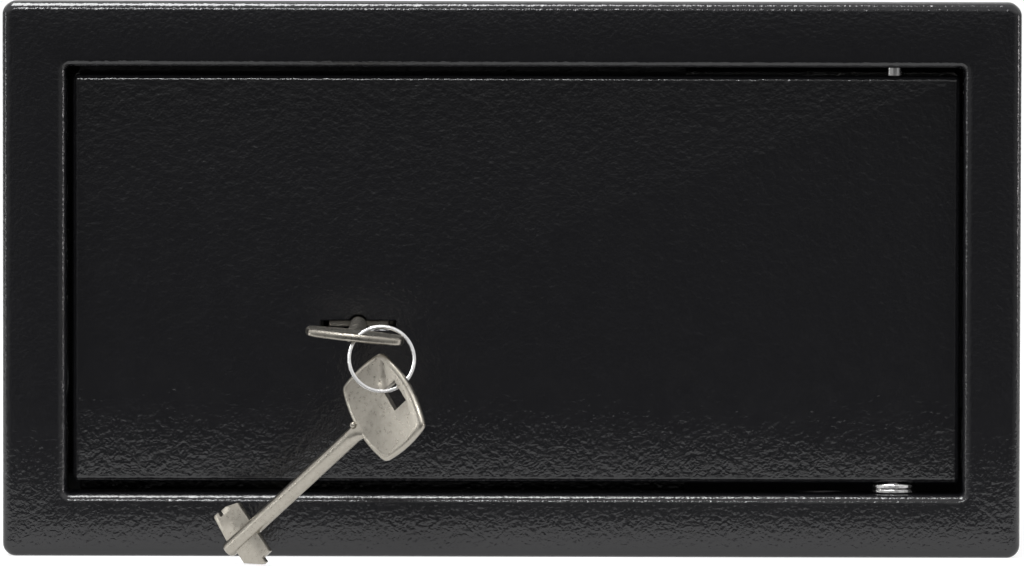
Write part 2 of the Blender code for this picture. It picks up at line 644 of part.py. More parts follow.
# ---------------------------------------------------------------- assembly
def build():
    clear_scene()
    door = pivot("door_axis", (HINGE_X, HINGE_Y, 0))
    key_axis = pivot("key_axis", (KEY_X, KEY_TIP_Y, KEY_Z), door)
    bolt_slide = pivot("bolt_slide", (BOLT_END_X, BOLT_Y, 0), door)
    lever_axis = pivot("lever_axis", (POST_X, LEVER_FIRST, POST_Z), door)
    ring_axis = pivot("ring_axis", (KEY_X, KEY_TIP_Y - SLOT_S, KEY_Z), key_axis)
    spare_axis = pivot("spare_axis", RING_CENTRE, ring_axis)

    finish("front_frame", front_frame(), "powder_black")
    finish("body_shell", body_shell(), "powder_black")
    finish("back_plate", back_plate(), "powder_black")
    finish("floor_mat", floor_mat(), "grey_felt")
    for name, side in (("upper", 1), ("lower", -1)):
        finish("door_stop_" + name, door_stop(side), "powder_black")
        finish("hinge_pin_" + name, hinge_pin(side), "bright_steel")
        finish("hinge_plate_" + name, hinge_plate(side), "zinc_steel", door)
    finish("hinge_washer_1", hinge_washer(0), "bright_steel")
    finish("hinge_washer_2", hinge_washer(1), "bright_steel", door)

    finish("door_plate", door_plate(), "powder_black", door)
    finish("hinge_side_bar", hinge_side_bar(), "zinc_steel", door)
    finish("lock_case", lock_case(), "zinc_steel", door)
    finish("lock_cover", lock_cover(), "zinc_steel", door)
    number = 0
    for x in LOCK_SCREW_X:
        for z in LOCK_SCREW_Z:
            number += 1
            under_head = (x, CASE_REAR + 2 * GAP + COVER_T, z)
            screw = slotted_screw(under_head, (0, 1, 0), LOCK_SCREW)
            finish(f"lock_screw_{number}", screw, "zinc_steel", door)
    finish("lever_post", lever_post(), "bright_steel", door)
    finish("lever_spring", lever_spring(), "bright_steel", door)
    for index in range(LEVERS):
        finish(f"lever_{index + 1}", lever(index), "brass", lever_axis)

    finish("lock_bolt", lock_bolt(), "zinc_steel", bolt_slide)
    finish("bolt_bar", bolt_bar(), "zinc_steel", bolt_slide)
    finish("drive_screw", drive_screw(), "zinc_steel", bolt_slide)
    for name, side in (("upper", 1), ("lower", -1)):
        finish("guide_stud_" + name, guide_stud(side), "zinc_steel", door)
        finish("locking_bolt_" + name, locking_bolt(side), "zinc_steel", bolt_slide)
        finish("bolt_screw_" + name, bolt_screw(side), "zinc_steel", bolt_slide)

    finish("key_curtain", key_curtain(), "black_oxide", key_axis)
    in_lock = placement((KEY_X, KEY_TIP_Y, KEY_Z), (0, -1, 0), (1, 0, 0))
    finish("inserted_key", key(), "key_nickel", key_axis, in_lock)
    finish("key_ring", key_ring(), "bright_steel", ring_axis)
    finish("spare_key", key(), "key_nickel", spare_axis, spare_placement())


build()
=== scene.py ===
"""Looks of the wall safe: camera, light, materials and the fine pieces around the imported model."""

import json
import math
import random

import bmesh
import bpy
from mathutils import Matrix, Vector


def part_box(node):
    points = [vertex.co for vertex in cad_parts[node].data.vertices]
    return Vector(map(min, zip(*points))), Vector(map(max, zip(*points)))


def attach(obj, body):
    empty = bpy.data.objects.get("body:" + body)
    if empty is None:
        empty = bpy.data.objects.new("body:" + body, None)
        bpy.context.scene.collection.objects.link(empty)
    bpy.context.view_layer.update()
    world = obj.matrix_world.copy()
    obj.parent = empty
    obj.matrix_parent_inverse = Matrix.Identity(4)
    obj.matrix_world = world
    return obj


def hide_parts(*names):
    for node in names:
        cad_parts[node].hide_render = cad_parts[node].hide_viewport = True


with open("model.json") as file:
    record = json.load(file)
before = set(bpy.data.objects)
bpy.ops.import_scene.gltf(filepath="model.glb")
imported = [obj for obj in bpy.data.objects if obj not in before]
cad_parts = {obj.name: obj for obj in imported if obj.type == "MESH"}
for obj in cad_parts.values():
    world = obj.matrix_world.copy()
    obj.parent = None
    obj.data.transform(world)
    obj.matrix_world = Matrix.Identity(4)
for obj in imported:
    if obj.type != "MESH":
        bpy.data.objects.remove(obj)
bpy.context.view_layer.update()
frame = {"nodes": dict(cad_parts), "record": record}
NODES = frame["nodes"]
MM = 0.001

# ------------------------------------------------------------ places read from the frame (mm)


def node_box(node):
    low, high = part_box(node)
    return Vector(low) / MM, Vector(high) / MM


def joint_place(name):
    for joint in frame["record"]["behaviour"]["joints"]:
        if joint["name"] == name:
            return Vector(joint["pos_m"]) / MM


FLANGE_LOW, FLANGE_HIGH = node_box("front_frame")
DOOR_LOW, DOOR_HIGH = node_box("door_plate")
BODY_LOW, BODY_HIGH = node_box("body_shell")
MAT_LOW, MAT_HIGH = node_box("floor_mat")
KEY_TIP_Y = node_box("inserted_key")[1].y
PIN_AXIS = joint_place("door_swing")
KEY_AXIS = joint_place("key_turn")
RING_CENTRE = joint_place("spare_slide")
TABLE_Z = FLANGE_LOW.z

# ------------------------------------------------------------ shapes (mm)
SHEET = 2.0
REACH = 3.0                            # how far a cutter runs past what it cuts
FLANGE_CORNER, FLANGE_BEND, FLANGE_RETURN = 4.5, 3.0, 12.0
JAMB_DEPTH = 22.0
OPENING = (-153.2, 155.3, -73.9, 73.2)     # x range, then z range
OPENING_CORNER = 1.2
DOOR_CORNER, DOOR_BEND = 2.0, 2.0
PIN_HOLE_R = 3.1
KEYHOLE_R, KEYHOLE_HALF_W, KEYHOLE_HALF_H, KEYHOLE_TAPER = 3.45, 13.0, 1.7, 0.25
BOLT_HOLE_R, BOLT_Y, BOLT_Z = 7.3, -170.5, 38.0
PAINT_ROUND = 0.4                      # how far the coat rounds the keyhole's edge

# one key, measured from its tip: s along the shank, w across the bits, h through the bow's thickness
SHANK_R, SHANK_L = 2.8, 64.5           # round part; it ends inside the neck
TIP_PROFILE = ((0, 0.8), (0.12, 0.5), (0.35, 0.25), (0.9, 0.05), (1.4, 0.0))     # s, step in from the shank
SHANK_SIDES = 48
# the neck flattens from the round shank into the bow: s, half width, half thickness
NECK_PROFILE = ((63.0, 2.78, 2.78), (64.5, 2.79, 2.72), (66.0, 2.88, 2.56), (67.4, 3.15, 2.28),
                (68.4, 3.6, 1.95), (69.2, 4.2, 1.62), (70.0, 5.1, 1.32), (70.8, 6.2, 1.05))
SEAM_START, SEAM_OVERLAP, SEAM_RISE, SEAM_HALF_W = 15.0, 1.0, 0.09, 0.14         # line left by the mould
BIT_HALF_T, BIT_BEVEL = 1.2, 0.22
FIRST_BIT = ((2.0, 2.0), (3.0, 12.3), (5.3, 12.3), (5.3, 10.4), (6.7, 10.4), (6.7, 12.1), (9.0, 12.1),
             (13.8, 10.2), (13.8, 2.0))       # s, distance out from the axis
SECOND_BIT = ((3.0, 2.0), (3.0, 7.6), (8.8, 12.4), (10.2, 12.4), (10.2, 10.5), (13.8, 10.5), (13.8, 2.0))
BOW_START, BOW_END, BOW_HALF_W = 71.2, 91.2, 15.6
BOW_LONG_SAG, BOW_SHORT_SAG = 3.0, 1.2
BOW_TWIST = -6.0                       # degrees between the bow and the bits
BOW_CORNER_CUT = 0.05                  # share of each side taken by the rounding of a corner
BOW_SIDE_STEPS, BOW_CORNER_STEPS = 20, 4
BOW_HALF_PROFILE = ((0.60, 0.0), (0.90, 0.12), (1.20, 0.50), (1.345, 0.90), (1.345, 1.08), (1.17, 1.34),
                    (1.14, 1.5))       # h, inset: rounded edge, bevel, ridge, sunk face
SLOT_S, SLOT_L, SLOT_W = 87.6, 5.8, 8.4       # slot for the ring: its middle, length and width
NUB_PLACE, NUB_R = (67.2, -2.2, -1.8), 1.15   # blob of metal left where the key was cast
NUB_STEPS, NUB_SIDES, NUB_POINT = 10, 20, 0.02
SPARE_TIP = (-96.39, -228.97, -91.01)        # where the hanging key's tip is
SPARE_AZIMUTH, SPARE_LEAN, SPARE_ROLL = 43.81, 23.66, -22.26     # degrees

RING_NORMAL = (-0.093, 0.973, -0.210)
RING_R = 11.05
RING_BAND_W, RING_BAND_T = 0.70, 1.18         # one turn's width along the axis, and its depth
RING_TURN_GAP, RING_EDGE_R = 0.02, 0.16
RING_STEPS = 220
RING_START, RING_OPEN = 1.9, 0.12             # radians: where the wire starts, and the gap at its ends
RING_CROSSING = 0.16                          # share of the wire that steps from one turn to the other

WELD_R, WELD_HALF_L, WELD_LENGTH_DRIFT = 1.5, 11.0, 1.5
WELD_RIPPLE, WELD_RIPPLE_DEPTH = 1.9, 0.10    # length of one ripple, and its share of the radius
WELD_STEP, WELD_SIDES = 0.5, 10
WELD_XS, WELD_ZS = (-120.0, -40.0, 40.0, 120.0), (-45.0, 45.0)

MAT_COLUMNS, MAT_ROWS = 80, 36
MAT_SKIN_GAP, MAT_MARGIN, MAT_LIFT = 0.15, 0.5, 0.05     # kept clear of the plain mat: top, sides, floor
MAT_RIM, MAT_RIM_DROP = 2.0, 0.9              # width of the rounded rim, and how far it falls
MAT_WAVE, MAT_EDGE_WAVE = 0.10, 0.35          # height of the waves in its top, and in its edge

# ------------------------------------------------------------ camera and light
CAMERA_DISTANCE = 4.0
CAMERA_LENS = 409.3
CAMERA_PITCH, CAMERA_YAW, CAMERA_ROLL = 3.325, -0.319, 0.109      # degrees
CAMERA_AIM = Vector((0.00017, FLANGE_LOW.y * MM, -0.00091))

# brightness of the room that the object reflects, and the ranges over which it rises
FRONT_LEVEL, SIDE_LEVEL, UPPER_LEVEL = 0.10, 0.50, 1.00
SIDE_START, SIDE_END = 0.0, 0.75       # how far a direction turns sideways
UPPER_START, UPPER_END = -0.02, 0.46   # how far it turns up

TABLE_REACH = 0.16                     # how far the table runs in front of the safe, in metres
TABLE_HALF_W, TABLE_REAR = 3.0, 4.0
TABLE_GLOW = 0.80


def make_camera():
    pitch, yaw, roll = (math.radians(v) for v in (CAMERA_PITCH, CAMERA_YAW, CAMERA_ROLL))
    look = Vector((math.sin(yaw) * math.cos(pitch), math.cos(yaw) * math.cos(pitch), -math.sin(pitch)))
    data = bpy.data.cameras.new("camera")
    data.lens = CAMERA_LENS
    data.sensor_width = 36.0
    data.clip_end = 50.0
    camera = bpy.data.objects.new("camera", data)
    bpy.context.scene.collection.objects.link(camera)
    camera.location = CAMERA_AIM - look * CAMERA_DISTANCE
    camera.rotation_mode = "QUATERNION"
    turn = look.to_track_quat("-Z", "Y")
    camera.rotation_quaternion = Matrix.Rotation(roll, 3, -look).to_quaternion() @ turn
    bpy.context.scene.camera = camera


def area_light(name, place, target, size, power, colour=(1, 1, 1)):
    """Softbox at a place, turned to its target; metres and watts."""
    data = bpy.data.lights.new(name, "AREA")
    data.shape = "RECTANGLE"
    data.size, data.size_y = size
    data.energy = power
    data.color = colour
    light = bpy.data.objects.new(name, data)
    bpy.context.scene.collection.objects.link(light)
    light.location = place
    light.rotation_mode = "QUATERNION"
    light.rotation_quaternion = (Vector(target) - Vector(place)).to_track_quat("-Z", "Y")


def make_light():
    area_light("overhead_softbox", (-0.36, -0.40, 1.5), (-0.1, -0.15, 0), (0.75, 0.8), 34)
    area_light("high_front_strip", (-0.24, -1.60, 0.74), (-0.05, -0.2, 0), (0.50, 0.07), 5.0)
    area_light("left_strip", (-1.8, -0.50, 0.08), (0, -0.2, 0.05), (0.16, 0.32), 1.3)
    area_light("right_strip", (1.7, -0.44, 0.08), (0, -0.2, 0.05), (0.18, 0.32), 2.0,
               colour=(1.0, 0.95, 0.96))


def make_world():
    """White behind the object; the object itself sees a dim front, paler sides and a pale top."""
    world = bpy.data.worlds.new("studio")
    bpy.context.scene.world = world
    world.use_nodes = True
    nodes, links = world.node_tree.nodes, world.node_tree.links
    nodes.clear()
    white = nodes.new("ShaderNodeBackground")
    white.inputs["Strength"].default_value = 1.0
    white.inputs["Color"].default_value = (1, 1, 1, 1)
    room = nodes.new("ShaderNodeBackground")
    direction = nodes.new("ShaderNodeTexCoord")
    split = nodes.new("ShaderNodeSeparateXYZ")
    links.new(direction.outputs["Generated"], split.inputs[0])
    side = nodes.new("ShaderNodeMath")
    side.operation = "ABSOLUTE"
    links.new(split.outputs["X"], side.inputs[0])
    total = nodes.new("ShaderNodeMath")
    total.operation = "ADD"
    for slot, (value, start, end, low, high) in enumerate((
            (side.outputs[0], SIDE_START, SIDE_END, FRONT_LEVEL, SIDE_LEVEL),
            (split.outputs["Z"], UPPER_START, UPPER_END, 0.0, UPPER_LEVEL))):
        level = nodes.new("ShaderNodeMapRange")
        level.interpolation_type = "SMOOTHSTEP"
        level.inputs["From Min"].default_value = start
        level.inputs["From Max"].default_value = end
        level.inputs["To Min"].default_value = low
        level.inputs["To Max"].default_value = high
        links.new(value, level.inputs["Value"])
        links.new(level.outputs[0], total.inputs[slot])
    links.new(total.outputs[0], room.inputs["Strength"])
    path = nodes.new("ShaderNodeLightPath")
    mix = nodes.new("ShaderNodeMixShader")
    out = nodes.new("ShaderNodeOutputWorld")
    links.new(path.outputs["Is Camera Ray"], mix.inputs["Fac"])
    links.new(room.outputs[0], mix.inputs[1])
    links.new(white.outputs[0], mix.inputs[2])
    links.new(mix.outputs[0], out.inputs["Surface"])


def make_floor():
    """White table top: ends a little in front of the safe and runs far behind it."""
    bm = bmesh.new()
    x, y0, y1, z = TABLE_HALF_W, FLANGE_LOW.y * MM - TABLE_REACH, TABLE_REAR, TABLE_Z * MM
    bm.faces.new([bm.verts.new(p) for p in ((-x, y0, z), (x, y0, z), (x, y1, z), (-x, y1, z))])
    mesh = bpy.data.meshes.new("floor")
    bm.to_mesh(mesh)
    bm.free()
    floor = bpy.data.objects.new("floor", mesh)
    bpy.context.scene.collection.objects.link(floor)
    material, shader = new_material("white_table", (0.25, 0.25, 0.25), 0.8)[:2]
    shader.inputs["Emission Color"].default_value = (1, 1, 1, 1)
    shader.inputs["Emission Strength"].default_value = TABLE_GLOW
    mesh.materials.append(material)


# ------------------------------------------------------------ materials
def new_material(name, colour, roughness, metallic=0.0):
    material = bpy.data.materials.new(name)
    material.use_nodes = True
    tree = material.node_tree
    shader = tree.nodes["Principled BSDF"]
    shader.inputs["Base Color"].default_value = (*colour, 1)
    shader.inputs["Roughness"].default_value = roughness
    shader.inputs["Metallic"].default_value = metallic
    return material, shader, tree.nodes, tree.links


def noise(nodes, links, scale, detail=2.0, roughness=0.5, stretch=None):
    """Noise in object space; scale is in cycles a metre, stretch scales each axis of it."""
    place = nodes.new("ShaderNodeTexCoord")
    texture = nodes.new("ShaderNodeTexNoise")
    texture.inputs["Scale"].default_value = scale
    texture.inputs["Detail"].default_value = detail
    texture.inputs["Roughness"].default_value = roughness
    source = place.outputs["Object"]
    if stretch:
        mapping = nodes.new("ShaderNodeMapping")
        mapping.inputs["Scale"].default_value = stretch
        links.new(source, mapping.inputs["Vector"])
        source = mapping.outputs["Vector"]
    links.new(source, texture.inputs["Vector"])
    return texture.outputs["Fac"]


def remap(nodes, links, value, low, high, start=0.3, end=0.7):
    node = nodes.new("ShaderNodeMapRange")
    node.inputs["From Min"].default_value = start
    node.inputs["From Max"].default_value = end
    node.inputs["To Min"].default_value = low
    node.inputs["To Max"].default_value = high
    links.new(value, node.inputs["Value"])
    return node.outputs[0]


def blend_colours(nodes, links, value, first, second):
    node = nodes.new("ShaderNodeMix")
    node.data_type = "RGBA"
    node.inputs["A"].default_value = (*first, 1)
    node.inputs["B"].default_value = (*second, 1)
    links.new(value, node.inputs["Factor"])
    return node.outputs["Result"]


def relief(nodes, links, layers):
    """Chain of bumps; each layer is (height output, strength, distance in metres)."""
    normal = None
    for height, strength, distance in layers:
        bump = nodes.new("ShaderNodeBump")
        bump.inputs["Strength"].default_value = strength
        bump.inputs["Distance"].default_value = distance
        links.new(height, bump.inputs["Height"])
        if normal:
            links.new(normal, bump.inputs["Normal"])
        normal = bump.outputs["Normal"]
    return normal


def powder_black():
    """Glossy black powder coat: leathery orange peel with a finer grain on it."""
    material, shader, nodes, links = new_material("powder_black", (0.0062, 0.0062, 0.0072), 0.14)
    peel = noise(nodes, links, 560.0, 2.0, 0.5)
    grain = noise(nodes, links, 1250.0, 2.0, 0.5)
    links.new(relief(nodes, links, ((peel, 0.42, 0.0004), (grain, 0.38, 0.00012))), shader.inputs["Normal"])
    links.new(remap(nodes, links, noise(nodes, links, 160.0, 3.0), 0.10, 0.17), shader.inputs["Roughness"])
    return material


def black_oxide():
    """Blackened steel with faint brown clouds."""
    material, shader, nodes, links = new_material("black_oxide", (0.03, 0.03, 0.032), 0.45, 1.0)
    cloud = noise(nodes, links, 420.0, 5.0, 0.6)
    links.new(blend_colours(nodes, links, remap(nodes, links, cloud, 0.0, 1.0),
                            (0.010, 0.010, 0.011), (0.026, 0.024, 0.023)), shader.inputs["Base Color"])
    links.new(remap(nodes, links, cloud, 0.36, 0.55), shader.inputs["Roughness"])
    return material


def zinc_steel():
    """Clear zinc plate over rolled sheet: faint rolling lines and cloudy crystals."""
    material, shader, nodes, links = new_material("zinc_steel", (0.46, 0.46, 0.45), 0.36, 1.0)
    cloud = noise(nodes, links, 240.0, 4.0, 0.55)
    lines = noise(nodes, links, 1.0, 3.0, 0.6, stretch=(90.0, 90.0, 3800.0))
    links.new(blend_colours(nodes, links, cloud, (0.40, 0.41, 0.42), (0.53, 0.52, 0.49)),
              shader.inputs["Base Color"])
    links.new(remap(nodes, links, lines, 0.27, 0.46), shader.inputs["Roughness"])
    links.new(relief(nodes, links, ((lines, 0.15, 0.00004), (cloud, 0.08, 0.0001))), shader.inputs["Normal"])
    return material


def bright_steel():
    """Drawn or turned steel with fine lines and light handling marks."""
    material, shader, nodes, links = new_material("bright_steel", (0.66, 0.66, 0.66), 0.2, 1.0)
    marks = noise(nodes, links, 520.0, 5.0, 0.6)
    lines = noise(nodes, links, 1.0, 2.0, 0.5, stretch=(4200.0, 160.0, 160.0))
    links.new(blend_colours(nodes, links, marks, (0.58, 0.58, 0.59), (0.72, 0.71, 0.69)),
              shader.inputs["Base Color"])
    links.new(remap(nodes, links, marks, 0.14, 0.3), shader.inputs["Roughness"])
    links.new(relief(nodes, links, ((lines, 0.12, 0.00003),)), shader.inputs["Normal"])
    return material


def brass():
    """Stamped brass with a rolled grain and darker tarnish clouds."""
    material, shader, nodes, links = new_material("brass", (0.62, 0.45, 0.18), 0.3, 1.0)
    tarnish = noise(nodes, links, 130.0, 5.0, 0.6)
    lines = noise(nodes, links, 1.0, 3.0, 0.6, stretch=(90.0, 3600.0, 3600.0))
    links.new(blend_colours(nodes, links, tarnish, (0.47, 0.32, 0.12), (0.70, 0.52, 0.23)),
              shader.inputs["Base Color"])
    links.new(remap(nodes, links, lines, 0.22, 0.42), shader.inputs["Roughness"])
    links.new(relief(nodes, links, ((lines, 0.14, 0.00003),)), shader.inputs["Normal"])
    return material


def key_nickel():
    """Satin nickel over a cast key: fine mottling and a sandy skin."""
    material, shader, nodes, links = new_material("key_nickel", (0.32, 0.30, 0.26), 0.3, 1.0)
    mottle = noise(nodes, links, 620.0, 5.0, 0.7)
    sand = noise(nodes, links, 2100.0, 3.0, 0.6)
    links.new(blend_colours(nodes, links, remap(nodes, links, mottle, 0.0, 1.0),
                            (0.285, 0.265, 0.228), (0.36, 0.337, 0.295)), shader.inputs["Base Color"])
    links.new(remap(nodes, links, mottle, 0.24, 0.36), shader.inputs["Roughness"])
    links.new(relief(nodes, links, ((mottle, 0.07, 0.00014), (sand, 0.11, 0.00006))), shader.inputs["Normal"])
    return material


def grey_felt():
    """Needle felt: short tangled fibres with a soft sheen."""
    material, shader, nodes, links = new_material("grey_felt", (0.05, 0.05, 0.055), 0.95)
    fibres = noise(nodes, links, 1.0, 4.0, 0.65, stretch=(2600.0, 700.0, 2600.0))
    cross = noise(nodes, links, 1.0, 4.0, 0.65, stretch=(700.0, 2600.0, 2600.0))
    links.new(blend_colours(nodes, links, remap(nodes, links, fibres, 0.0, 1.0),
                            (0.035, 0.035, 0.04), (0.085, 0.085, 0.09)), shader.inputs["Base Color"])
    shader.inputs["Sheen Weight"].default_value = 0.35
    shader.inputs["Sheen Roughness"].default_value = 0.5
    links.new(relief(nodes, links, ((fibres, 0.6, 0.0003), (cross, 0.6, 0.0003))), shader.inputs["Normal"])
    return material


MATERIALS = {make.__name__: make() for make in (powder_black, zinc_steel, bright_steel, brass, black_oxide,
                                                key_nickel, grey_felt)}

# edge rounding of the carried-over nodes, in millimetres
EDGE_ROUND = {"powder_black": 0.35, "zinc_steel": 0.18, "bright_steel": 0.15, "brass": 0.15,
              "black_oxide": 0.1}
EDGE_ANGLE = math.radians(40)          # only edges sharper than this are rounded


def dress_cad_nodes():
    slots = {entry["node"]: entry["material_slot"] for entry in frame["record"]["subparts"]}
    for name, node in NODES.items():
        node.data.materials.clear()
        node.data.materials.append(MATERIALS[slots[name]])
        if slots[name] in EDGE_ROUND:
            step = node.modifiers.new("edge_round", "BEVEL")
            step.width = EDGE_ROUND[slots[name]] * MM
            step.segments = 2
            step.limit_method = "ANGLE"
            step.angle_limit = EDGE_ANGLE


# ------------------------------------------------------------ modelling helpers (mm)
def new_piece(name, bm, slot, body, replaced=(), smooth=30.0):
    """Turn a mesh in millimetres into a named piece that rides on a body."""
    bmesh.ops.scale(bm, vec=(MM, MM, MM), verts=bm.verts)
    bm.normal_update()
    mesh = bpy.data.meshes.new(name)
    bm.to_mesh(mesh)
    bm.free()
    mesh.shade_smooth()
    mesh.set_sharp_from_angle(angle=math.radians(smooth))
    mesh.materials.append(MATERIALS[slot])
    piece = bpy.data.objects.new(name, mesh)
    bpy.context.scene.collection.objects.link(piece)
    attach(piece, body)
    if replaced:
        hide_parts(*replaced)
    return piece


def rect_loop(box, corner, y, grow=0.0, steps=12):
    """Rounded rectangle in the plane at depth y; grow moves every side outward."""
    x0, x1, z0, z1 = box[0] - grow, box[1] + grow, box[2] - grow, box[3] + grow
    r = max(corner + grow, 0.4)
    centres = ((x1 - r, z1 - r, 0), (x0 + r, z1 - r, 90), (x0 + r, z0 + r, 180), (x1 - r, z0 + r, 270))
    loop = []
    for cx, cz, start in centres:
        for i in range(steps + 1):
            a = math.radians(start + 90 * i / steps)
            loop.append((cx + r * math.cos(a), y, cz + r * math.sin(a)))
    return loop


def bend(radius, steps=8):
    """Quarter circle as (inset, rise) pairs, from a side to a front face."""
    for i in range(steps + 1):
        a = math.radians(90 * i / steps)
        yield radius * (1 - math.cos(a)), radius * (1 - math.sin(a))


def skin(loops, closed=False):
    """Body made of equal loops joined one to the next; its ends are capped, or joined if closed."""
    bm = bmesh.new()
    rows = [[bm.verts.new(p) for p in loop] for loop in loops]
    count = len(rows[0])
    for k in range(len(rows) if closed else len(rows) - 1):
        row, after = rows[k], rows[(k + 1) % len(rows)]
        for i in range(count):
            j = (i + 1) % count
            bm.faces.new((row[i], row[j], after[j], after[i]))
    if not closed:
        bm.faces.new(rows[0])
        bm.faces.new(rows[-1])
    bmesh.ops.recalc_face_normals(bm, faces=bm.faces)
    return bm


def circle_loop(centre, axis, radius, sides):
    turn = Vector((0, 0, 1)).rotation_difference(Vector(axis)).to_matrix()
    angles = [2 * math.pi * i / sides for i in range(sides)]
    return [Vector(centre) + turn @ Vector((radius * math.cos(a), radius * math.sin(a), 0)) for a in angles]


def turned(start, axis, profile, sides=48):
    """Solid of revolution: profile holds (distance along axis, radius) pairs."""
    start, axis = Vector(start), Vector(axis).normalized()
    return skin([circle_loop(start + axis * d, axis, r, sides) for d, r in profile])


def combine(bm, operation, tools):
    """Join the tools to a body (UNION) or cut them from it (DIFFERENCE)."""
    spent = []
    for shape in [bm] + tools:
        mesh = bpy.data.meshes.new("work")
        shape.to_mesh(mesh)
        shape.free()
        obj = bpy.data.objects.new("work", mesh)
        bpy.context.scene.collection.objects.link(obj)
        spent.append(obj)
    for tool in spent[1:]:
        step = spent[0].modifiers.new("boolean", "BOOLEAN")
        step.operation = operation
        step.solver = "EXACT"
        step.object = tool
    bpy.context.view_layer.update()
    result = bmesh.new()
    result.from_object(spent[0], bpy.context.evaluated_depsgraph_get())
    for obj in spent:
        bpy.data.objects.remove(obj, do_unlink=True)
    return result


# ------------------------------------------------------------ frame and door
def pin_holes():
    height = FLANGE_HIGH.z - FLANGE_LOW.z
    return turned((PIN_AXIS.x, PIN_AXIS.y, -height), (0, 0, 1), ((0, PIN_HOLE_R), (2 * height, PIN_HOLE_R)))


def flange():
    """Folded frame: outer return, round outer bend, flat face, round inner bend and jamb."""
    front = FLANGE_LOW.y
    outer = (FLANGE_LOW.x, FLANGE_HIGH.x, FLANGE_LOW.z, FLANGE_HIGH.z)
    r, t = FLANGE_BEND, SHEET
    rear, jamb_end = front + FLANGE_RETURN, front + JAMB_DEPTH
    loops = [rect_loop(outer, FLANGE_CORNER, rear)]
    for inset, rise in bend(r):
        loops.append(rect_loop(outer, FLANGE_CORNER, front + rise, -inset))
    for inset, rise in reversed(list(bend(r))):
        loops.append(rect_loop(OPENING, OPENING_CORNER, front + rise, inset))
    loops.append(rect_loop(OPENING, OPENING_CORNER, jamb_end))
    loops.append(rect_loop(OPENING, OPENING_CORNER, jamb_end, t))
    for inset, rise in bend(r - t):
        loops.append(rect_loop(OPENING, OPENING_CORNER, front + t + rise, t + inset))
    for inset, rise in reversed(list(bend(r - t))):
        loops.append(rect_loop(outer, FLANGE_CORNER, front + t + rise, -t - inset))
    loops.append(rect_loop(outer, FLANGE_CORNER, rear, -t))
    return combine(skin(loops, closed=True), "DIFFERENCE", [pin_holes()])


def keyhole_cutters(low, high, grow_low, grow_high):
    """Round hole and slot through the door; the two grows differ where the coat rounds the edge."""
    slots, circles = [], []
    for y, grow in ((low, grow_low), (high, grow_high)):
        w, h = KEYHOLE_HALF_W + grow, KEYHOLE_HALF_H + grow
        end = h - KEYHOLE_TAPER
        outline = ((-w, -end), (0, -h), (w, -end), (w, end), (0, h), (-w, end))
        slots.append([(KEY_AXIS.x + x, y, KEY_AXIS.z + z) for x, z in outline])
        circles.append(circle_loop((KEY_AXIS.x, y, KEY_AXIS.z), (0, 1, 0), KEYHOLE_R + grow, 56))
    return [skin(slots), skin(circles)]


def door():
    """Door pan: flat face with round bends back to its rim, open behind."""
    outline = (DOOR_LOW.x, DOOR_HIGH.x, DOOR_LOW.z, DOOR_HIGH.z)
    front, rear = DOOR_LOW.y, DOOR_HIGH.y
    loops = [rect_loop(outline, DOOR_CORNER, front + SHEET, -SHEET),
             rect_loop(outline, DOOR_CORNER, rear, -SHEET),
             rect_loop(outline, DOOR_CORNER, rear)]
    for inset, rise in bend(DOOR_BEND):
        loops.append(rect_loop(outline, DOOR_CORNER, front + rise, -inset))
    tools = keyhole_cutters(front - REACH, front + SHEET + REACH, 0.0, 0.0)
    tools += keyhole_cutters(front - PAINT_ROUND, front + PAINT_ROUND, 2 * PAINT_ROUND, 0.0)
    tools.append(pin_holes())
    profile = ((0, BOLT_HOLE_R), (SHEET + 2 * REACH, BOLT_HOLE_R))
    for z in (-BOLT_Z, BOLT_Z):
        tools.append(turned((DOOR_LOW.x - REACH, BOLT_Y, z), (1, 0, 0), profile))
    return combine(skin(loops), "DIFFERENCE", tools)


# ------------------------------------------------------------ keys and ring
def bow_outline(inset):
    """Bow seen flat: four sides as shallow arcs, joined by small round corners."""
    s0, s1, w = BOW_START + inset, BOW_END - inset, BOW_HALF_W - inset
    corners = [Vector(c) for c in ((s0, -w), (s1, -w), (s1, w), (s0, w))]
    sags = (BOW_SHORT_SAG, BOW_LONG_SAG, BOW_SHORT_SAG, BOW_LONG_SAG)
    cut = BOW_CORNER_CUT

    def on_side(k, t):
        a, b = corners[k % 4], corners[(k + 1) % 4]
        out = Vector(((b - a).y, -(b - a).x)).normalized()
        return a.lerp(b, t) + out * sags[k % 4] * (1 - (2 * t - 1) ** 2)

    points = []
    for k in range(4):
        points += [on_side(k, cut + (1 - 2 * cut) * i / BOW_SIDE_STEPS) for i in range(BOW_SIDE_STEPS + 1)]
        start, middle, end = on_side(k, 1 - cut), corners[(k + 1) % 4], on_side(k + 1, cut)
        for i in range(1, BOW_CORNER_STEPS):
            t = i / BOW_CORNER_STEPS
            points.append(start.lerp(middle, t).lerp(middle.lerp(end, t), t))
    return points


def box_bm(x0, x1, y0, y1, z0, z1):
    return skin([[(x0, y0, z), (x1, y0, z), (x1, y1, z), (x0, y1, z)] for z in (z0, z1)])


def bit(outline, side):
    """Flat bit with small bevels on every edge."""
    bm = skin([[(s, side * w, h) for s, w in outline] for h in (-BIT_HALF_T, BIT_HALF_T)])
    bmesh.ops.bevel(bm, geom=bm.edges[:], offset=BIT_BEVEL, segments=2, profile=0.5, affect="EDGES",
                    clamp_overlap=True)
    return bm


def nub():
    """Small round blob on the shank, where the metal was fed in."""
    profile = []
    for i in range(NUB_STEPS + 1):
        a = math.pi * i / NUB_STEPS
        profile.append((NUB_R * (1 - math.cos(a)), NUB_R * math.sin(a) + NUB_POINT))
    return turned(NUB_PLACE, (1, 0, 0), profile, NUB_SIDES)


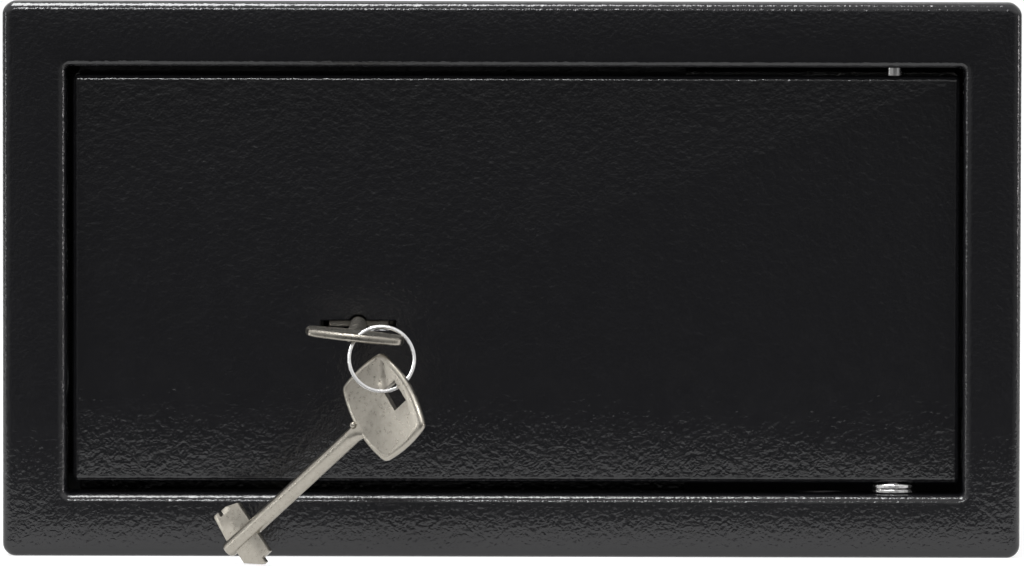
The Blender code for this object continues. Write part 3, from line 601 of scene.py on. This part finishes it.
def key():
    """Double-bit key along +X from its tip; the bow has a bevelled rim round a sunk face."""
    layers = [(-h, inset) for h, inset in reversed(BOW_HALF_PROFILE)] + list(BOW_HALF_PROFILE)
    bow = skin([[(p.x, p.y, h) for p in bow_outline(inset)] for h, inset in layers])
    slot = box_bm(SLOT_S - SLOT_L / 2, SLOT_S + SLOT_L / 2, -SLOT_W / 2, SLOT_W / 2, -REACH, REACH)
    bow = combine(bow, "DIFFERENCE", [slot])
    twist = Matrix.Rotation(math.radians(BOW_TWIST), 3, "X")
    bmesh.ops.transform(bow, matrix=twist, verts=bow.verts)
    r = SHANK_R
    profile = [(s, r - step) for s, step in TIP_PROFILE] + [(SHANK_L, r)]
    shank = turned((0, 0, 0), (1, 0, 0), profile, SHANK_SIDES)
    angles = [2 * math.pi * i / SHANK_SIDES for i in range(SHANK_SIDES)]
    neck = skin([[(s, w * math.cos(a), h * math.sin(a)) for a in angles] for s, w, h in NECK_PROFILE])
    bmesh.ops.transform(neck, matrix=twist, verts=neck.verts)
    seam_w = r + SEAM_RISE
    seam = box_bm(SEAM_START, SHANK_L + SEAM_OVERLAP, -seam_w, seam_w, -SEAM_HALF_W, SEAM_HALF_W)
    return combine(shank, "UNION", [bit(FIRST_BIT, -1), bit(SECOND_BIT, 1), seam, neck, bow, nub()])


def placement(tip, along, across):
    """Matrix that puts a key's tip, shank direction and bit direction in place."""
    along = Vector(along).normalized()
    across = (Vector(across) - along * Vector(across).dot(along)).normalized()
    turn = Matrix((along, across, along.cross(across))).transposed().to_4x4()
    return Matrix.Translation(Vector(tip)) @ turn


def spare_placement():
    az, lean, roll = (math.radians(v) for v in (SPARE_AZIMUTH, SPARE_LEAN, SPARE_ROLL))
    along = Vector((math.cos(az) * math.cos(lean), -math.sin(lean), math.sin(az) * math.cos(lean)))
    level = Vector((math.sin(az), 0, -math.cos(az)))
    level = (level - along * level.dot(along)).normalized()
    across = level * math.cos(roll) + along.cross(level) * math.sin(roll)
    return placement(SPARE_TIP, along, across)


def placed_key(matrix):
    bm = key()
    bmesh.ops.transform(bm, matrix=matrix, verts=bm.verts)
    return bm


def split_ring():
    """Flat spring wire wound twice; the wire crosses from one turn to the other in a short step."""
    normal = Vector(RING_NORMAL).normalized()
    side = normal.cross(Vector((0, 0, 1))).normalized()
    up = side.cross(normal)
    edge = RING_EDGE_R
    half_w, half_t = RING_BAND_W / 2 - RING_TURN_GAP, RING_BAND_T / 2
    outline = []
    for cx, cy, start in ((1, 1, 0), (-1, 1, 90), (-1, -1, 180), (1, -1, 270)):
        for i in range(4):
            a = math.radians(start + 30 * i)
            outline.append((cx * (half_t - edge) + edge * math.cos(a),
                            cy * (half_w - edge) + edge * math.sin(a)))
    sweep = 4 * math.pi - RING_OPEN
    loops = []
    for i in range(RING_STEPS + 1):
        t = i / RING_STEPS
        a = sweep * t + RING_START
        cross = min(max((t - 0.5) / RING_CROSSING + 0.5, 0.0), 1.0)
        shift = (cross * cross * (3 - 2 * cross) - 0.5) * RING_BAND_W
        out = side * math.cos(a) + up * math.sin(a)
        centre = RING_CENTRE + out * RING_R + normal * shift
        loops.append([centre + out * p + normal * q for p, q in outline])
    return skin(loops)


# ------------------------------------------------------------ cabinet details
def weld_bead(start, end, out):
    """Stitch weld in the corner between the body and the flange: a row of overlapping ripples."""
    out = Vector(out).normalized()
    along = (end - start).normalized()
    length = (end - start).length
    back = Vector((0, 1, 0))
    steps = int(length / WELD_STEP)
    angles = [math.radians(360 * k / WELD_SIDES) for k in range(WELD_SIDES)]
    loops = []
    for i in range(steps + 1):
        t = i / steps
        fade = min(1.0, 5.0 * t + 0.25, 5.0 * (1 - t) + 0.25)
        ripple = WELD_RIPPLE_DEPTH * math.sin(2 * math.pi * t * length / WELD_RIPPLE)
        r = WELD_R * fade * (1 + ripple)
        centre = start + along * (length * t)
        loops.append([centre + (out * math.cos(a) + back * math.sin(a)) * r for a in angles])
    return skin(loops)


def weld_beads():
    """Stitches on all four sides, each with small differences in length."""
    draw = random.Random(7)
    y = FLANGE_LOW.y + SHEET
    spots = []
    for x in WELD_XS:
        spots += [((x, y, BODY_HIGH.z), (1, 0, 0), (0, 0, 1)), ((x, y, BODY_LOW.z), (1, 0, 0), (0, 0, -1))]
    for z in WELD_ZS:
        spots += [((BODY_LOW.x, y, z), (0, 0, 1), (-1, 0, 0)), ((BODY_HIGH.x, y, z), (0, 0, 1), (1, 0, 0))]
    for number, (place, along, out) in enumerate(spots, 1):
        half = Vector(along) * (WELD_HALF_L + draw.uniform(-WELD_LENGTH_DRIFT, WELD_LENGTH_DRIFT))
        bead = weld_bead(Vector(place) - half, Vector(place) + half, out)
        new_piece(f"weld_bead_{number}", bead, "powder_black", "cabinet", smooth=60)


def felt_mat():
    """Felt cut to the cabinet's floor, with a slightly wavy edge and a soft rounded rim."""
    draw = random.Random(3)
    nx, ny = MAT_COLUMNS, MAT_ROWS
    x0, x1, y0, y1 = MAT_LOW.x, MAT_HIGH.x, MAT_LOW.y, MAT_HIGH.y
    top, bottom = MAT_HIGH.z - MAT_SKIN_GAP, MAT_LOW.z + MAT_LIFT
    margin = MAT_MARGIN
    phases = [draw.uniform(0, 2 * math.pi) for _ in range(6)]
    bm = bmesh.new()
    layers = []
    for lower in (False, True):
        grid = []
        for i in range(nx + 1):
            row = []
            for j in range(ny + 1):
                u, v = i / nx, j / ny
                edge = min(u, 1 - u) * (x1 - x0), min(v, 1 - v) * (y1 - y0)
                rim = min(1.0, min(edge) / MAT_RIM)
                wave = MAT_WAVE * (math.sin(9 * u + phases[0]) * math.sin(5 * v + phases[1])
                                   + 0.6 * math.sin(23 * u + phases[2]) * math.sin(13 * v + phases[3]))
                sway = MAT_EDGE_WAVE * (1 - rim)
                x = x0 + margin + (x1 - x0 - 2 * margin) * u + sway * math.sin(31 * v + phases[4])
                y = y0 + margin + (y1 - y0 - 2 * margin) * v + sway * math.sin(43 * u + phases[5])
                rise = top - MAT_RIM_DROP * (1 - rim) ** 2 + wave * rim - MAT_SKIN_GAP
                row.append(bm.verts.new((x, y, bottom if lower else rise)))
            grid.append(row)
        layers.append(grid)
    for grid in layers:
        for i in range(nx):
            for j in range(ny):
                bm.faces.new((grid[i][j], grid[i + 1][j], grid[i + 1][j + 1], grid[i][j + 1]))
    border = [(i, 0) for i in range(nx)] + [(nx, j) for j in range(ny)]
    border += [(i, ny) for i in range(nx, 0, -1)] + [(0, j) for j in range(ny, 0, -1)]
    for k, (i, j) in enumerate(border):
        m, n = border[(k + 1) % len(border)]
        bm.faces.new((layers[0][i][j], layers[0][m][n], layers[1][m][n], layers[1][i][j]))
    bmesh.ops.recalc_face_normals(bm, faces=bm.faces)
    return bm


def make_pieces():
    new_piece("folded_flange", flange(), "powder_black", "cabinet", ("front_frame",), smooth=35)
    new_piece("door_pan_skin", door(), "powder_black", "door", ("door_plate",), smooth=35)
    in_lock = placement((KEY_AXIS.x, KEY_TIP_Y, KEY_AXIS.z), (0, -1, 0), (1, 0, 0))
    new_piece("key_in_lock", placed_key(in_lock), "key_nickel", "lock_key", ("inserted_key",))
    new_piece("key_on_ring", placed_key(spare_placement()), "key_nickel", "hanging_key", ("spare_key",))
    new_piece("split_ring", split_ring(), "bright_steel", "ring", ("key_ring",))
    weld_beads()
    mat = new_piece("felt_floor_mat", felt_mat(), "grey_felt", "cabinet", ("floor_mat",), smooth=60)


make_camera()
make_light()
make_world()
make_floor()
dress_cad_nodes()
make_pieces()
bpy.context.scene.view_settings.view_transform = "Standard"
